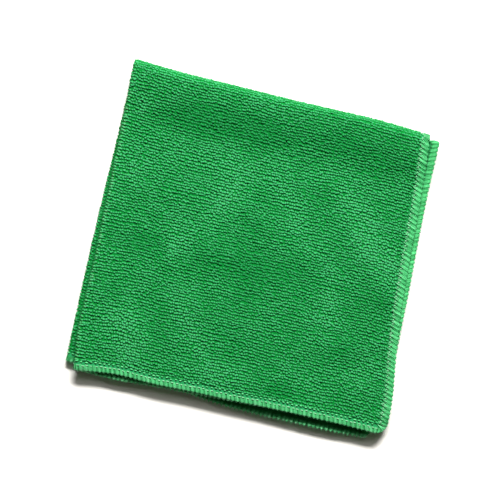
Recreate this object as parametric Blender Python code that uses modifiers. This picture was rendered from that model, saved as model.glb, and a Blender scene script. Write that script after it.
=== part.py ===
"""Microfibre cloth, folded in four and lying flat: one terry sheet with an overlocked hem.

The sheet is a flat square grid. Two folds carry it into a stack of four layers: the first
fold lies on the left and makes two hairpins, one above the other; the second lies at the
back and wraps one pair of layers round the other. Then each layer's edges go where they lie
in the stack, the top layer gets its soft ridges, and Solidify gives the sheet its thickness.

Lengths below are millimetres. "Across" runs to the right from the folded corner and "down"
runs from the back fold to the front hems. The object itself is in metres, +Z up, with its
origin in the middle of its underside, +Y towards the back fold and +X towards the side hems.
"""

import bmesh
import bpy
import numpy as np

MM = 0.001

# The sheet laid flat.
CLOTH_SIDE = 400.0
CLOTH_THICKNESS = 2.0
CORNER_RADIUS = {"first": 8.5, "second": 5.5, "third": 4.5, "fourth": 5.0}

# The overlocked hem: its width, and how thick the sheet is across it, as a share of the full
# thickness at each distance from the edge.
HEM_SECTION = (
    {"from_edge": 0.0, "share": 0.50},
    {"from_edge": 0.7, "share": 0.86},
    {"from_edge": 2.4, "share": 1.00},
    {"from_edge": 4.3, "share": 0.92},
    {"from_edge": 5.3, "share": 0.78},
    {"from_edge": 6.6, "share": 1.00},
)

# The stack: distances between the middles of neighbouring layers, flat and at the back fold.
PAIR_SPACING_FLAT = 2.35
PAIR_SPACING_BACK = 3.2
MIDDLE_SPACING_FLAT = 2.35
MIDDLE_SPACING_BACK = 3.6
PUFF_STARTS = 3.0
PUFF_ENDS = 36.0

# The side fold: its radius, and how far its swelling runs into the layers.
HAIRPIN_RADIUS = 1.4
HAIRPIN_RUN = 12.0

# Edges of the stack, at even stations. The back edge runs left to right, the side folds run
# from the back to the front. The lower pair of layers has slid out to the left.
BACK_EDGE_DOWN = (-1.0, 1.0, 1.9, 2.6, 3.6, 4.1, 4.5, 5.5, 7.7)
SIDE_FOLD_ACROSS = {
    "upper": (-1.0, -0.7, -0.4, -0.2, -0.2, 0.0, -0.5, -0.8, 2.0),
    "lower": (-1.0, -1.9, -3.3, -4.1, -4.3),
}

# The hemmed edges of each layer, from the top of the stack down, at even stations.
LAYER_HEMS = {
    "first": {
        "side_across": (195.9, 197.7, 198.8, 199.4, 200.4, 201.8, 204.4, 207.3, 208.0),
        "front_down": (203.6, 201.1, 202.1, 201.8, 202.0, 201.7, 202.0, 202.5, 203.8),
    },
    "second": {
        "side_across": (202.7, 202.3, 202.4, 202.8, 203.4, 203.6, 203.9, 204.0, 204.0),
        "front_down": (203.6, 204.8, 203.7, 203.2, 202.6, 201.7, 200.9, 200.4, 200.6),
    },
    "third": {
        "side_across": (202.4, 201.8, 201.2, 200.7, 200.2, 199.5, 198.8, 198.2, 198.2),
        "front_down": (199.4, 199.9, 200.4, 202.9, 206.0, 207.4, 207.8, 208.2, 207.5),
    },
    "fourth": {
        "side_across": (195.9, 196.5, 196.8, 197.0, 197.2, 197.1, 197.0, 197.0, 197.2),
        "front_down": (199.4, 199.7, 200.0, 201.4, 205.1, 206.4, 206.9, 207.2, 206.6),
    },
}

# Soft ridges and drops of the upper pair of layers. A ridge lies at (across, down), "along"
# and "aside" are its half length and half width, "turn" is its slant in degrees towards the
# front, and "below" is the share of it that the pair's lower layer follows.
RIDGES = (
    {"across": 33, "down": 78, "along": 15, "aside": 8, "turn": 0, "rise": 0.5, "below": 0.3},
    {"across": 76, "down": 109, "along": 22, "aside": 10, "turn": 8, "rise": 0.7, "below": 0.3},
    {"across": 108, "down": 90, "along": 20, "aside": 10, "turn": 15, "rise": 0.6, "below": 0.3},
    {"across": 134, "down": 103, "along": 15, "aside": 8, "turn": 10, "rise": 0.5, "below": 0.3},
    {"across": 168, "down": 90, "along": 30, "aside": 8, "turn": 55, "rise": 0.8, "below": 0.3},
    {"across": 50, "down": 122, "along": 9, "aside": 8, "turn": 0, "rise": 0.4, "below": 0.3},
    {"across": 36, "down": 172, "along": 24, "aside": 8, "turn": 50, "rise": 0.7, "below": 0.3},
    {"across": 72, "down": 150, "along": 16, "aside": 8, "turn": 20, "rise": 0.5, "below": 0.3},
    {"across": 160, "down": 155, "along": 17, "aside": 8, "turn": -15, "rise": 0.5, "below": 0.3},
    {"across": 178, "down": 178, "along": 14, "aside": 8, "turn": 0, "rise": 0.4, "below": 0.3},
    {"across": 100, "down": 190, "along": 22, "aside": 8, "turn": 0, "rise": 0.4, "below": 0.3},
    {"across": 135, "down": 56, "along": 20, "aside": 8, "turn": 0, "rise": 0.4, "below": 0.3},
    {"across": 152, "down": 204, "along": 44, "aside": 22, "turn": 0, "rise": 0.9, "below": 1.0},
    {"across": 212, "down": 206, "along": 5.5, "aside": 10, "turn": 0, "rise": -13, "below": 1.2},
    {"across": 3, "down": 208, "along": 14, "aside": 4, "turn": 0, "rise": -3, "below": 1.2},
)

# The front hem of the lower pair curls up where it lies free of the layers above it.
CURLS = (
    {"across": 160, "down": 211, "along": 34, "aside": 4.5, "turn": 0, "rise": 2.2, "below": 0.5},
    {"across": 198, "down": 209, "along": 5, "aside": 5, "turn": 0, "rise": 1.2, "below": 0.5},
)

# How finely the solid follows each stretch of the sheet.
HAIRPIN_STEPS = 8
BACK_FOLD_STEPS = 10
PUFF_STEPS = 4
LEG_STEPS = 13

PILE_GREEN = (0.022, 0.29, 0.075, 1.0)
PILE_ROUGHNESS = 0.9

COLLECTION = "microfibre_cloth"
NODE = "cloth"

HALF_SIDE = CLOTH_SIDE / 2
HALF_HAIRPIN = np.pi / 2 * HAIRPIN_RADIUS
BACK_RADIUS = (MIDDLE_SPACING_BACK + PAIR_SPACING_BACK) / 2
HALF_BACK_FOLD = np.pi / 2 * BACK_RADIUS
OUTER_RADIUS = (MIDDLE_SPACING_BACK + 2 * PAIR_SPACING_BACK + CLOTH_THICKNESS) / 2


def soft_step(value):
    """Ease from 0 to 1 as value goes from 0 to 1."""
    value = np.clip(value, 0.0, 1.0)
    return value * value * (3.0 - 2.0 * value)


def along(stations, share):
    """Smooth curve through evenly spaced stations, read at a share from 0 to 1."""
    stations = np.asarray(stations, dtype=float)
    last = len(stations) - 1
    before = 2 * stations[0] - stations[1]
    after = 2 * stations[-1] - stations[-2]
    padded = np.concatenate([[before], stations, [after]])
    place = np.clip(share, 0.0, 1.0) * last
    start = np.minimum(place.astype(int), last - 1)
    part = place - start
    a, b, c, d = (padded[start + offset] for offset in range(4))
    slope = c - a
    square = 2 * a - 5 * b + 4 * c - d
    cube = 3 * b - a - 3 * c + d
    return 0.5 * (2 * b + part * (slope + part * (square + part * cube)))


def in_layer(values, across_fold, down_fold):
    """Of four values, top layer first, each point of the sheet takes that of its own layer."""
    first, second, third, fourth = values
    upper = np.where(across_fold >= 0, first, second)
    lower = np.where(across_fold >= 0, fourth, third)
    return np.where(down_fold <= 0, upper, lower)


def hem_edge(name, across_fold, down_fold, share):
    """Where one hemmed edge of each point's layer lies, at a share of the way along it."""
    edges = [along(hems[name], share) for hems in LAYER_HEMS.values()]
    return in_layer(edges, across_fold, down_fold)


def round_corners(across_fold, down_fold):
    """Pull the four corners of the flat sheet in to their radii."""
    radius = in_layer(CORNER_RADIUS.values(), across_fold, down_fold)
    centre = HALF_SIDE - radius
    out_x = np.clip((np.abs(across_fold) - centre) / radius, 0.0, 1.0)
    out_y = np.clip((np.abs(down_fold) - centre) / radius, 0.0, 1.0)
    pulled_x = out_x * (1.0 - np.sqrt(1.0 - out_y**2 / 2)) * radius
    pulled_y = out_y * (1.0 - np.sqrt(1.0 - out_x**2 / 2)) * radius
    return across_fold - np.sign(across_fold) * pulled_x, down_fold - np.sign(down_fold) * pulled_y


def ridge_height(ridges, across, down, below):
    """Height that ridges add at a place of the stack, "below" being 1 in a pair's lower layer."""
    height = np.zeros_like(across)
    for ridge in ridges:
        turn = np.radians(ridge["turn"])
        right = across - ridge["across"]
        front = down - ridge["down"]
        lengthways = (right * np.cos(turn) + front * np.sin(turn)) / ridge["along"]
        sideways = (front * np.cos(turn) - right * np.sin(turn)) / ridge["aside"]
        share = 1.0 + (ridge["below"] - 1.0) * below
        height = height + share * ridge["rise"] * np.exp(-(lengthways**2) - sideways**2)
    return height


def fold(flat_x, flat_y):
    """Carry points of the flat sheet, measured from its two fold lines, into the stack."""
    flat_x, flat_y = round_corners(flat_x, flat_y)

    # The side fold: a half turn at the middle of the sheet, then two straight legs.
    hairpin_turn = np.clip(np.abs(flat_x) / HALF_HAIRPIN, 0.0, 1.0) * np.pi / 2
    side_leg = np.maximum(np.abs(flat_x) - HALF_HAIRPIN, 0.0)
    outward = np.sign(flat_x) * np.sin(hairpin_turn)

    # The back fold, in which the outer layer has the larger radius.
    back_turn = np.clip(np.abs(flat_y) / HALF_BACK_FOLD, 0.0, 1.0) * np.pi / 2
    front_leg = np.maximum(np.abs(flat_y) - HALF_BACK_FOLD, 0.0)
    on_top = np.where(flat_y <= 0, 1.0, -1.0)

    settled = soft_step((front_leg - PUFF_STARTS) / (PUFF_ENDS - PUFF_STARTS))
    swelling = 2 * HAIRPIN_RADIUS / PAIR_SPACING_FLAT - 1
    swollen = 1 + swelling * (1 - soft_step(side_leg / HAIRPIN_RUN)) * settled
    pair = PAIR_SPACING_BACK + (PAIR_SPACING_FLAT - PAIR_SPACING_BACK) * settled
    pair = pair * swollen
    middle = MIDDLE_SPACING_BACK + (MIDDLE_SPACING_FLAT - MIDDLE_SPACING_BACK) * settled
    reach = (middle + pair * (1 + outward)) / 2
    stack_middle = (CLOTH_THICKNESS + middle) / 2 + pair

    # Where the layer's edges lie.
    side_share = side_leg / (HALF_SIDE - HALF_HAIRPIN)
    front_share = front_leg / (HALF_SIDE - HALF_BACK_FOLD)
    upper_fold = along(SIDE_FOLD_ACROSS["upper"], front_share)
    lower_fold = along(SIDE_FOLD_ACROSS["lower"], front_share)
    left = np.where(flat_y <= 0, upper_fold, lower_fold) + HAIRPIN_RADIUS + CLOTH_THICKNESS / 2
    right = hem_edge("side_across", flat_x, flat_y, front_share)
    back = along(BACK_EDGE_DOWN, side_share) + OUTER_RADIUS
    front = hem_edge("front_down", flat_x, flat_y, side_share)

    across = left + (right - left) * side_share - HAIRPIN_RADIUS * np.cos(hairpin_turn)
    down = back + (front - back) * front_share - reach * np.cos(back_turn)
    height = stack_middle + on_top * reach * np.sin(back_turn)
    ridges = ridge_height(RIDGES, across, down, (1 - outward) / 2)
    curls = ridge_height(CURLS, across, down, (1 + outward) / 2)
    height = height + np.where(flat_y <= 0, ridges, curls) * np.sin(back_turn) ** 2
    return across, down, height


def hem_share(from_edge):
    """Share of the full thickness at a distance from the sheet's edge."""
    distances = [row["from_edge"] for row in HEM_SECTION]
    shares = [row["share"] for row in HEM_SECTION]
    return float(np.interp(from_edge, distances, shares))


def stations_along_sheet(half_fold, fold_steps, puff_end):
    """Grid lines from edge to edge of the flat sheet, closer in the hems and the fold."""
    hem = [HALF_SIDE - row["from_edge"] for row in HEM_SECTION]
    leg = list(np.linspace(hem[-1], half_fold + puff_end, LEG_STEPS + 1)[1:])
    if puff_end:
        leg += list(np.linspace(half_fold + puff_end, half_fold, PUFF_STEPS + 1)[1:])
    bend = list(np.linspace(half_fold, -half_fold, fold_steps + 1)[1:-1])
    one_side = hem + leg
    return np.array(one_side + bend + [-value for value in reversed(one_side)])[::-1]


def build_material():
    material = bpy.data.materials.new("green_terry")
    material.use_nodes = True
    shader = material.node_tree.nodes["Principled BSDF"]
    shader.inputs["Base Color"].default_value = PILE_GREEN
    shader.inputs["Roughness"].default_value = PILE_ROUGHNESS
    shader.inputs["Metallic"].default_value = 0.0
    return material


def build_cloth(collection):
    lines_x = stations_along_sheet(HALF_HAIRPIN, HAIRPIN_STEPS, 0.0)
    lines_y = stations_along_sheet(HALF_BACK_FOLD, BACK_FOLD_STEPS, PUFF_ENDS)
    steps_x = len(lines_x) - 1
    steps_y = len(lines_y) - 1

    sheet = bmesh.new()
    bmesh.ops.create_grid(sheet, x_segments=steps_x, y_segments=steps_y, size=1.0)
    columns = [round((vert.co.x + 1) / 2 * steps_x) for vert in sheet.verts]
    rows = [round((vert.co.y + 1) / 2 * steps_y) for vert in sheet.verts]
    flat_x = lines_x[columns]
    flat_y = lines_y[rows]
    across, down, height = fold(flat_x, flat_y)
    for vert, right, front, up in zip(sheet.verts, across, down, height):
        vert.co = (right * MM, -front * MM, up * MM)

    mesh = bpy.data.meshes.new(NODE)
    sheet.to_mesh(mesh)
    sheet.free()
    cloth = bpy.data.objects.new(NODE, mesh)
    collection.objects.link(cloth)
    cloth.data.materials.append(build_material())

    group = cloth.vertex_groups.new(name="thickness")
    from_edge = HALF_SIDE - np.maximum(np.abs(flat_x), np.abs(flat_y))
    for index, distance in enumerate(from_edge):
        group.add([index], hem_share(distance), "REPLACE")
    shell = cloth.modifiers.new("thickness", "SOLIDIFY")
    shell.thickness = CLOTH_THICKNESS * MM
    shell.offset = 0.0
    shell.use_even_offset = True
    shell.vertex_group = group.name
    shell.thickness_vertex_group = 0.0
    return cloth


def centre_over_origin(cloth):
    """Move the sheet so that the origin is in the middle of the stack's underside."""
    bpy.context.view_layer.update()
    evaluated = cloth.evaluated_get(bpy.context.evaluated_depsgraph_get())
    corners = np.array([corner[:] for corner in evaluated.bound_box])
    low = corners.min(axis=0)
    high = corners.max(axis=0)
    shift = ((low[0] + high[0]) / 2, (low[1] + high[1]) / 2, low[2])
    for vert in cloth.data.vertices:
        vert.co = (vert.co.x - shift[0], vert.co.y - shift[1], vert.co.z - shift[2])


def main():
    for leftover in list(bpy.data.objects):
        bpy.data.objects.remove(leftover, do_unlink=True)
    collection = bpy.data.collections.new(COLLECTION)
    bpy.context.scene.collection.children.link(collection)
    cloth = build_cloth(collection)
    centre_over_origin(cloth)
    cloth.data.shade_smooth()


main()
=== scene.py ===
"""Looks of a microfibre cloth folded in four: ground knit, looped pile and overlocked hem.

The sheet lies on the folds of the CAD solid. The pile stands on it as rows of small tufts,
and the hem is wrapped in overlock thread. Flat places on the cloth, and lengths in the
tables, are in millimetres, "across" to the right of the folded corner and "down" from the
back fold; the finished meshes are in metres.
"""

import bmesh
import bpy
import numpy as np
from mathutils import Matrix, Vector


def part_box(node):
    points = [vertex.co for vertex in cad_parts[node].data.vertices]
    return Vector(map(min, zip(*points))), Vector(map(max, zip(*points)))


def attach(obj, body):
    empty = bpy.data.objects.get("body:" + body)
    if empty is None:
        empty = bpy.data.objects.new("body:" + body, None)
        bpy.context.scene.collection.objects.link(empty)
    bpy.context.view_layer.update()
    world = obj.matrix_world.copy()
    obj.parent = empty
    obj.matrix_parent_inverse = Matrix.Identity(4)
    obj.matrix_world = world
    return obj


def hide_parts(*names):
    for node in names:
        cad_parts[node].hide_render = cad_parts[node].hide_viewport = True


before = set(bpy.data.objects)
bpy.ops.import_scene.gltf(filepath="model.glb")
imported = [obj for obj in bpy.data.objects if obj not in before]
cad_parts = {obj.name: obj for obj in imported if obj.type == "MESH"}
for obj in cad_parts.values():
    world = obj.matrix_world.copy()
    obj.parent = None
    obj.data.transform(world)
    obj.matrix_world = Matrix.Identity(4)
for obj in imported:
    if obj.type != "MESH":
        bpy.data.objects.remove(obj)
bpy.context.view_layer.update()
CLOTH_NODE = "cloth"
CLOTH_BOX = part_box(CLOTH_NODE)

bl_info = {
    "name": "Folded microfibre cloth",
    "version": (1, 0, 0),
    "blender": (4, 5, 0),
    "location": "3D View > Sidebar > Cloth",
    "description": "Builds the pile, hem and finish of a folded terry microfibre cloth",
    "category": "Add Mesh",
}

MM = 0.001


def table(columns, *rows):
    """Rows of a table, each as a dictionary of its named columns."""
    names = columns.split()
    return tuple(dict(zip(names, row, strict=True)) for row in rows)


# --- The folded sheet, as its solid has it ---

CLOTH_SIDE = 400.0
CLOTH_THICKNESS = 2.0
CORNER_RADIUS = {"first": 8.5, "second": 5.5, "third": 4.5, "fourth": 5.0}
PAIR_SPACING_FLAT = 2.35
PAIR_SPACING_BACK = 3.2
MIDDLE_SPACING_FLAT = 2.35
MIDDLE_SPACING_BACK = 3.6
PUFF_STARTS = 3.0
PUFF_ENDS = 36.0
HAIRPIN_RADIUS = 1.4
HAIRPIN_RUN = 12.0

# Edges of the stack at even stations: the back edge from left to right, the side folds from
# back to front.
BACK_EDGE_DOWN = (-1.0, 1.0, 1.9, 2.6, 3.6, 4.1, 4.5, 5.5, 7.7)
SIDE_FOLD_ACROSS = {
    "upper": (-1.0, -0.7, -0.4, -0.2, -0.2, 0.0, -0.5, -0.8, 2.0),
    "lower": (-1.0, -1.9, -3.3, -4.1, -4.3),
}

# The hemmed edges of each layer, from the top of the stack down, at even stations.
LAYER_HEMS = {
    "first": {
        "side_across": (195.9, 197.7, 198.8, 199.4, 200.4, 201.8, 204.4, 207.3, 208.0),
        "front_down": (203.6, 201.1, 202.1, 201.8, 202.0, 201.7, 202.0, 202.5, 203.8),
    },
    "second": {
        "side_across": (202.7, 202.3, 202.4, 202.8, 203.4, 203.6, 203.9, 204.0, 204.0),
        "front_down": (203.6, 204.8, 203.7, 203.2, 202.6, 201.7, 200.9, 200.4, 200.6),
    },
    "third": {
        "side_across": (202.4, 201.8, 201.2, 200.7, 200.2, 199.5, 198.8, 198.2, 198.2),
        "front_down": (199.4, 199.9, 200.4, 202.9, 206.0, 207.4, 207.8, 208.2, 207.5),
    },
    "fourth": {
        "side_across": (195.9, 196.5, 196.8, 197.0, 197.2, 197.1, 197.0, 197.0, 197.2),
        "front_down": (199.4, 199.7, 200.0, 201.4, 205.1, 206.4, 206.9, 207.2, 206.6),
    },
}

# Soft ridges and drops of the upper pair of layers: place, half length, half width, slant in
# degrees towards the front, rise, and the share of it that the pair's lower layer follows.
RIDGES = table(
    "across down along aside turn rise below",
    (33, 78, 15, 8, 0, 0.5, 0.3),
    (76, 109, 22, 10, 8, 0.7, 0.3),
    (108, 90, 20, 10, 15, 0.6, 0.3),
    (134, 103, 15, 8, 10, 0.5, 0.3),
    (168, 90, 30, 8, 55, 0.8, 0.3),
    (50, 122, 9, 8, 0, 0.4, 0.3),
    (36, 172, 24, 8, 50, 0.7, 0.3),
    (72, 150, 16, 8, 20, 0.5, 0.3),
    (160, 155, 17, 8, -15, 0.5, 0.3),
    (178, 178, 14, 8, 0, 0.4, 0.3),
    (100, 190, 22, 8, 0, 0.4, 0.3),
    (135, 56, 20, 8, 0, 0.4, 0.3),
    (152, 204, 44, 22, 0, 0.9, 1.0),
    (212, 206, 5.5, 10, 0, -13, 1.2),
    (3, 208, 14, 4, 0, -3, 1.2),
)

# The front hem of the lower pair curls up where it lies free of the layers above it.
CURLS = table(
    "across down along aside turn rise below",
    (160, 211, 34, 4.5, 0, 2.2, 0.5),
    (198, 209, 5, 5, 0, 1.2, 0.5),
)

# Patches where the pile of the top layer is brushed, its tufts leaning so that they look lighter
# or, below zero, darker, and where painted light or, below zero, painted shade is laid on it:
# place, half length, half width, slant in degrees towards the front, and strength.
NAP = table(
    "across down along aside turn light",
    (30, 4, 60, 5, 0, 0.1),
    (52, 29, 24, 9, 0, -0.45),
    (88, 29, 18, 9, 0, -0.4),
    (145, 27, 30, 9, 0, -0.28),
    (180, 32, 16, 10, 0, -0.15),
    (8, 26, 8, 12, 0, 0.1),
    (70, 55, 30, 9, 0, 0.15),
    (75, 76, 22, 9, 122, 0.28),
    (14, 71, 9, 8, 0, 0.22),
    (170, 80, 34, 9, 52, 0.38),
    (190, 96, 10, 8, 60, 0.2),
    (124, 78, 26, 8, 56, 0.14),
    (97, 92, 14, 7, 80, -0.18),
    (134, 64, 10, 7, 40, -0.12),
    (27, 114, 15, 7, 0, -0.26),
    (51, 111, 11, 7, 80, 0.25),
    (100, 116, 36, 9, 0, -0.32),
    (101, 134, 9, 9, 0, -0.18),
    (154, 132, 22, 7, 85, 0.22),
    (188, 121, 9, 9, 0, -0.24),
    (16, 150, 8, 8, 0, -0.28),
    (29, 172, 26, 11, 60, 0.4),
    (70, 160, 26, 7, 62, 0.22),
    (50, 168, 16, 6, 62, -0.12),
    (95, 187, 12, 8, 0, 0.28),
    (136, 189, 10, 7, 0, -0.28),
    (98, 163, 16, 8, 20, -0.14),
    (187, 169, 12, 7, -30, 0.24),
    (168, 158, 12, 7, -35, -0.18),
    (150, 182, 12, 7, 30, 0.14),
)
# What a patch of strength 1 does to its tufts: how far it leans them to the front, as a share of
# their height, how much painted light it lays on them and, where it is light, how much wider they
# are. Above the strength NAP_MOST it leans them no further.
NAP_LEAN = 2.8
NAP_PAINTED_LIGHT = 1.9
NAP_WIDEN = 0.4
NAP_MOST = 0.2

HALF_SIDE = CLOTH_SIDE / 2
HALF_HAIRPIN = np.pi / 2 * HAIRPIN_RADIUS
BACK_RADIUS = (MIDDLE_SPACING_BACK + PAIR_SPACING_BACK) / 2
HALF_BACK_FOLD = np.pi / 2 * BACK_RADIUS
OUTER_RADIUS = (MIDDLE_SPACING_BACK + 2 * PAIR_SPACING_BACK + CLOTH_THICKNESS) / 2

# --- The ground knit and the pile ---

# Grid lines of the ground knit: their step, their distances from the edge in the hem, and
# their number over the folds.
GROUND_STEP = 2.6
HEM_LINES = (0.0, 0.5, 1.4, 2.6, 3.8, 4.9, 5.8, 7.0)
HAIRPIN_STEPS = 12
BACK_FOLD_STEPS = 20
# The knit's thickness in the hem, and the shares of it at distances from the cut edge. At the
# last distance it is down to the thickness under the pile.
HEM_GROUND = 1.3
HEM_THICK_PLACES = (0.0, 1.0, 3.6, 4.4)
HEM_THICK_SHARES = (0.4, 1.0, 1.0)
# Tint of the ground knit by distance from the cut edge, from its own green at 0 to the dark
# green of the tufts at 1. The low tint near the cut edge paints shade into the gaps between the
# hem's strands.
HEM_TINT_PLACES = (3.0, 3.8, 5.2, 6.0)
HEM_TINTS = (0.3, 1.0, 1.0, 0.0)

# How near the pile comes to the side and front edges.
SIDE_HEM = 5.6
FRONT_HEM = 5.7

# Spans of the flat sheet, from its two fold lines, that stretches of pile share.
RIGHT_LEG = (2.2, 195.0)
HAIRPIN = (-2.2, 2.2)
UPPER_PAIR = (-196.0, -5.34)
LOWER_PAIR = (5.34, 196.0)
BACK_FOLD = (-5.34, 5.34)
FULL_DEPTH = (-196.0, 196.0)
# Over the folds, where the outside of the sheet is stretched, the tufts of a row or the rows
# stand this many times closer on the flat sheet.
EVEN = (1.0, 1.0)
CLOSER_TUFTS = (1.7, 1.0)
CLOSER_ROWS = (1.0, 1.7)
# Stretches of pile on the flat sheet. Side is +1 on the cloth's face and -1 on its back.
FIELD_COLUMNS = "side x y closer"
PILE_FIELDS = {
    "pile_top": table(FIELD_COLUMNS, (1, RIGHT_LEG, UPPER_PAIR, EVEN)),
    "pile_folds": table(
        FIELD_COLUMNS,
        (1, HAIRPIN, UPPER_PAIR, CLOSER_TUFTS),
        (1, (-12.0, -2.2), UPPER_PAIR, EVEN),
        (1, HAIRPIN, LOWER_PAIR, CLOSER_TUFTS),
        (1, (-14.0, -2.2), LOWER_PAIR, EVEN),
        (1, (-6.0, 195.0), BACK_FOLD, CLOSER_ROWS),
    ),
    "pile_inside": table(
        FIELD_COLUMNS,
        (-1, (185.0, 195.0), FULL_DEPTH, EVEN),
        (-1, (-195.0, -185.0), FULL_DEPTH, EVEN),
        (1, (-195.0, -185.0), FULL_DEPTH, EVEN),
        (-1, (-185.0, 185.0), (-196.0, -185.0), EVEN),
        (-1, (-185.0, 185.0), (185.0, 196.0), EVEN),
        (1, (-185.0, -12.0), (-196.0, -185.0), EVEN),
        (1, (-185.0, -14.0), (183.0, 196.0), EVEN),
    ),
    "pile_underside": table(FIELD_COLUMNS, (1, RIGHT_LEG, LOWER_PAIR, EVEN)),
}

# Tufts are small domes: radius and height of the ring between foot and crown, as shares, and
# the turn of the foot's first corner. The foot stands inside the knit, at a share of half its
# thickness, and a dome leans by this power of its height. No part of a dome lies lower above
# the floor than LOWEST_TUFT.
DOME_SIDES = 5
DOME_RING_RADIUS = 0.78
DOME_RING_HEIGHT = 0.64
DOME_SPIN = 0.3
FOOT_SUNK = 0.6
LEAN_CURVE = 1.5
LOWEST_TUFT = 0.03

# Rows break into short runs of tufts, each run slanting to the front on its way across; a tuft
# turns the same way. The breaks of one row are set off from those of the next.
RUN_LENGTH = 3.6
RUN_SLANT = 0.65
RUN_OFFSET = 7.0
TUFT_TURN = -0.26
TUFT_HEIGHT = 0.94
TUFT_LEAN = {"along": 0.05, "to_back": -0.20}
TUFT_SHADE = 0.5

# Soft unevenness over the pile: how far apart its bumps are, how many times closer from row to
# row, its strength and its own seed.
UNEVEN = {
    "sway": {"size": 12.0, "closer": 1, "strength": 0.7, "seed": 1},
    "ripple": {"size": 5.0, "closer": 4, "strength": 0.16, "seed": 2},
    "patches": {"size": 6.0, "closer": 1, "strength": 1.0, "seed": 3},
    "breaks": {"size": 7.0, "closer": 5, "strength": 1.6, "seed": 4},
}
# What the patches add to their tufts, and how far single tufts stray from the rest, in
# millimetres for places, radians for the turn and shares of the whole otherwise.
PATCHES_ADD = {"height": 0.15, "width": 0.13, "shade": 0.12}
TUFTS_STRAY = {
    "along": 0.20, "aside": 0.16, "turn": 0.28, "height": 0.17,
    "length": 0.16, "width": 0.13, "lean": 0.25, "shade": 0.13,
}

# Tufts of the lower fold are pressed down beside the upper fold, within this reach, and painted
# shade darkens them there, in the crevice under the upper fold.
PRESSED_AND_SHADED = {"reach": 1.6, "height": 0.35, "light": -0.9}
# The upper fold's own tufts are flattened along its shoulder, where a painted pale highlight lies
# on them, and at its very edge, in the crevice, painted shade darkens them.
SHOULDER = {"from_fold": 1.9, "reach": 0.8, "light": 0.9, "height": 0.55, "from_back": 20.0}
FOLD_EDGE_SHADE = {"from_fold": 1.0, "reach": 0.7, "light": -2.0}

# --- The overlocked hem ---

# The stitches of each hemmed edge: which flat direction the edge faces and on which side of
# the sheet it is, from where to where it runs, the pitch, the width, how far a strand moves
# along the edge on its way out, the make of the stitch and how pale its inner end is.
OVERLOCK = table(
    "name facing sign run pitch width slant make pale",
    ("overlock_first_side", "x", 1, (-200.0, 0.0), 3.07, 5.2, -2.0, "side", 0.6),
    ("overlock_second_side", "x", -1, (-200.0, 0.0), 3.07, 4.9, 2.3, "smooth", 0.2),
    ("overlock_third_side", "x", -1, (0.0, 200.0), 3.07, 4.9, -2.3, "smooth", 0.2),
    ("overlock_fourth_side", "x", 1, (0.0, 200.0), 3.07, 4.9, -2.0, "side", 0.5),
    ("overlock_first_front", "y", -1, (0.0, 200.0), 2.85, 3.4, 0.7, "front", 0.5),
    ("overlock_second_front", "y", -1, (-200.0, 0.0), 2.85, 3.4, 0.7, "front", 0.3),
    ("overlock_third_front", "y", 1, (-200.0, 0.0), 2.85, 3.4, 0.7, "curled", 0.0),
    ("overlock_fourth_front", "y", 1, (0.0, 200.0), 2.85, 3.4, 0.7, "curled", 0.0),
)

# The strands of one stitch: place along the edge as a share of the pitch, half width, height,
# bulge past the edge and inner reach as shares, and lightness of the thread on top and at the
# outer end. That lightness carries painted shade on the low strands between stitches and on the
# curled hems of the lower pair, which lie in the shadow of the layers above, and painted light
# on the outer ends of the raised strands.
STRAND_COLUMNS = "place half_width height bulge reach light outer"
STITCH_STRANDS = {
    "side": table(
        STRAND_COLUMNS,
        (-0.22, 0.42, 0.98, 1.0, 1.04, 0.46, 0.7),
        (-0.02, 0.45, 1.0, 1.15, 1.1, 0.62, 0.76),
        (0.18, 0.42, 0.98, 1.0, 0.98, 0.44, 0.68),
        (0.38, 0.42, 0.94, 0.25, 0.74, 0.0, 0.34),
        (0.58, 0.41, 0.91, 0.1, 0.58, -0.12, 0.12),
    ),
    "smooth": table(
        STRAND_COLUMNS,
        (-0.3, 0.44, 0.99, 1.0, 1.0, 0.4, 0.5),
        (-0.1, 0.46, 1.0, 1.2, 1.04, 0.5, 0.6),
        (0.1, 0.46, 0.99, 1.0, 1.02, 0.42, 0.5),
        (0.31, 0.44, 0.96, 0.4, 0.98, 0.3, -0.1),
        (0.51, 0.42, 0.92, 0.1, 0.92, 0.16, -0.6),
    ),
    "front": table(
        STRAND_COLUMNS,
        (-0.24, 0.38, 0.97, 0.95, 1.0, 0.22, 1.0),
        (0.0, 0.42, 1.0, 1.8, 1.08, 0.42, 1.1),
        (0.24, 0.38, 0.96, 0.95, 1.0, 0.16, 0.94),
        (0.5, 0.43, 0.86, 0.0, 0.88, -0.06, 0.4),
    ),
    "curled": table(
        STRAND_COLUMNS,
        (-0.22, 0.36, 0.88, 1.2, 1.0, -0.5, 1.0),
        (0.0, 0.38, 0.9, 2.9, 1.0, -0.4, 1.3),
        (0.22, 0.36, 0.88, 1.2, 1.0, -0.5, 1.0),
        (0.5, 0.42, 0.8, 0.0, 0.9, -0.6, 0.2),
    ),
}

# One strand from the seam over the edge and back beneath it: its place between the edge and
# the seam, how much of the slant it has made, its height, its fullness and how far its flat
# side has turned over the edge, in degrees.
STRAND = table(
    "inward slanted height full turned",
    (1.05, 0.0, 0.45, 0.35, 0),
    (0.9, 0.14, 0.82, 0.6, 0),
    (0.52, 0.52, 0.95, 0.84, 0),
    (0.1, 0.92, 0.95, 1.0, 10),
    (-0.07, 1.0, 0.78, 0.95, 40),
    (-0.12, 1.0, 0.0, 0.85, 90),
    (-0.07, 1.0, -0.6, 0.9, 130),
    (0.15, 0.9, -0.88, 1.0, 170),
    (0.6, 0.4, -0.93, 1.0, 180),
    (1.0, 0.0, -0.45, 0.35, 180),
)
STRAND_SIDES = 4
STRAND_FLATNESS = 0.32
# Lightness passes from the outer end to the top between these places inward, and the paleness
# of the inner end sets in between those. Some places are fully pale, the rest faintly.
TOP_LIGHT = (0.10, 0.90)
INNER_PALE = (0.30, 0.85)
PALE_SHARE = 0.4
PALE_FAINT = 0.1
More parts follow.
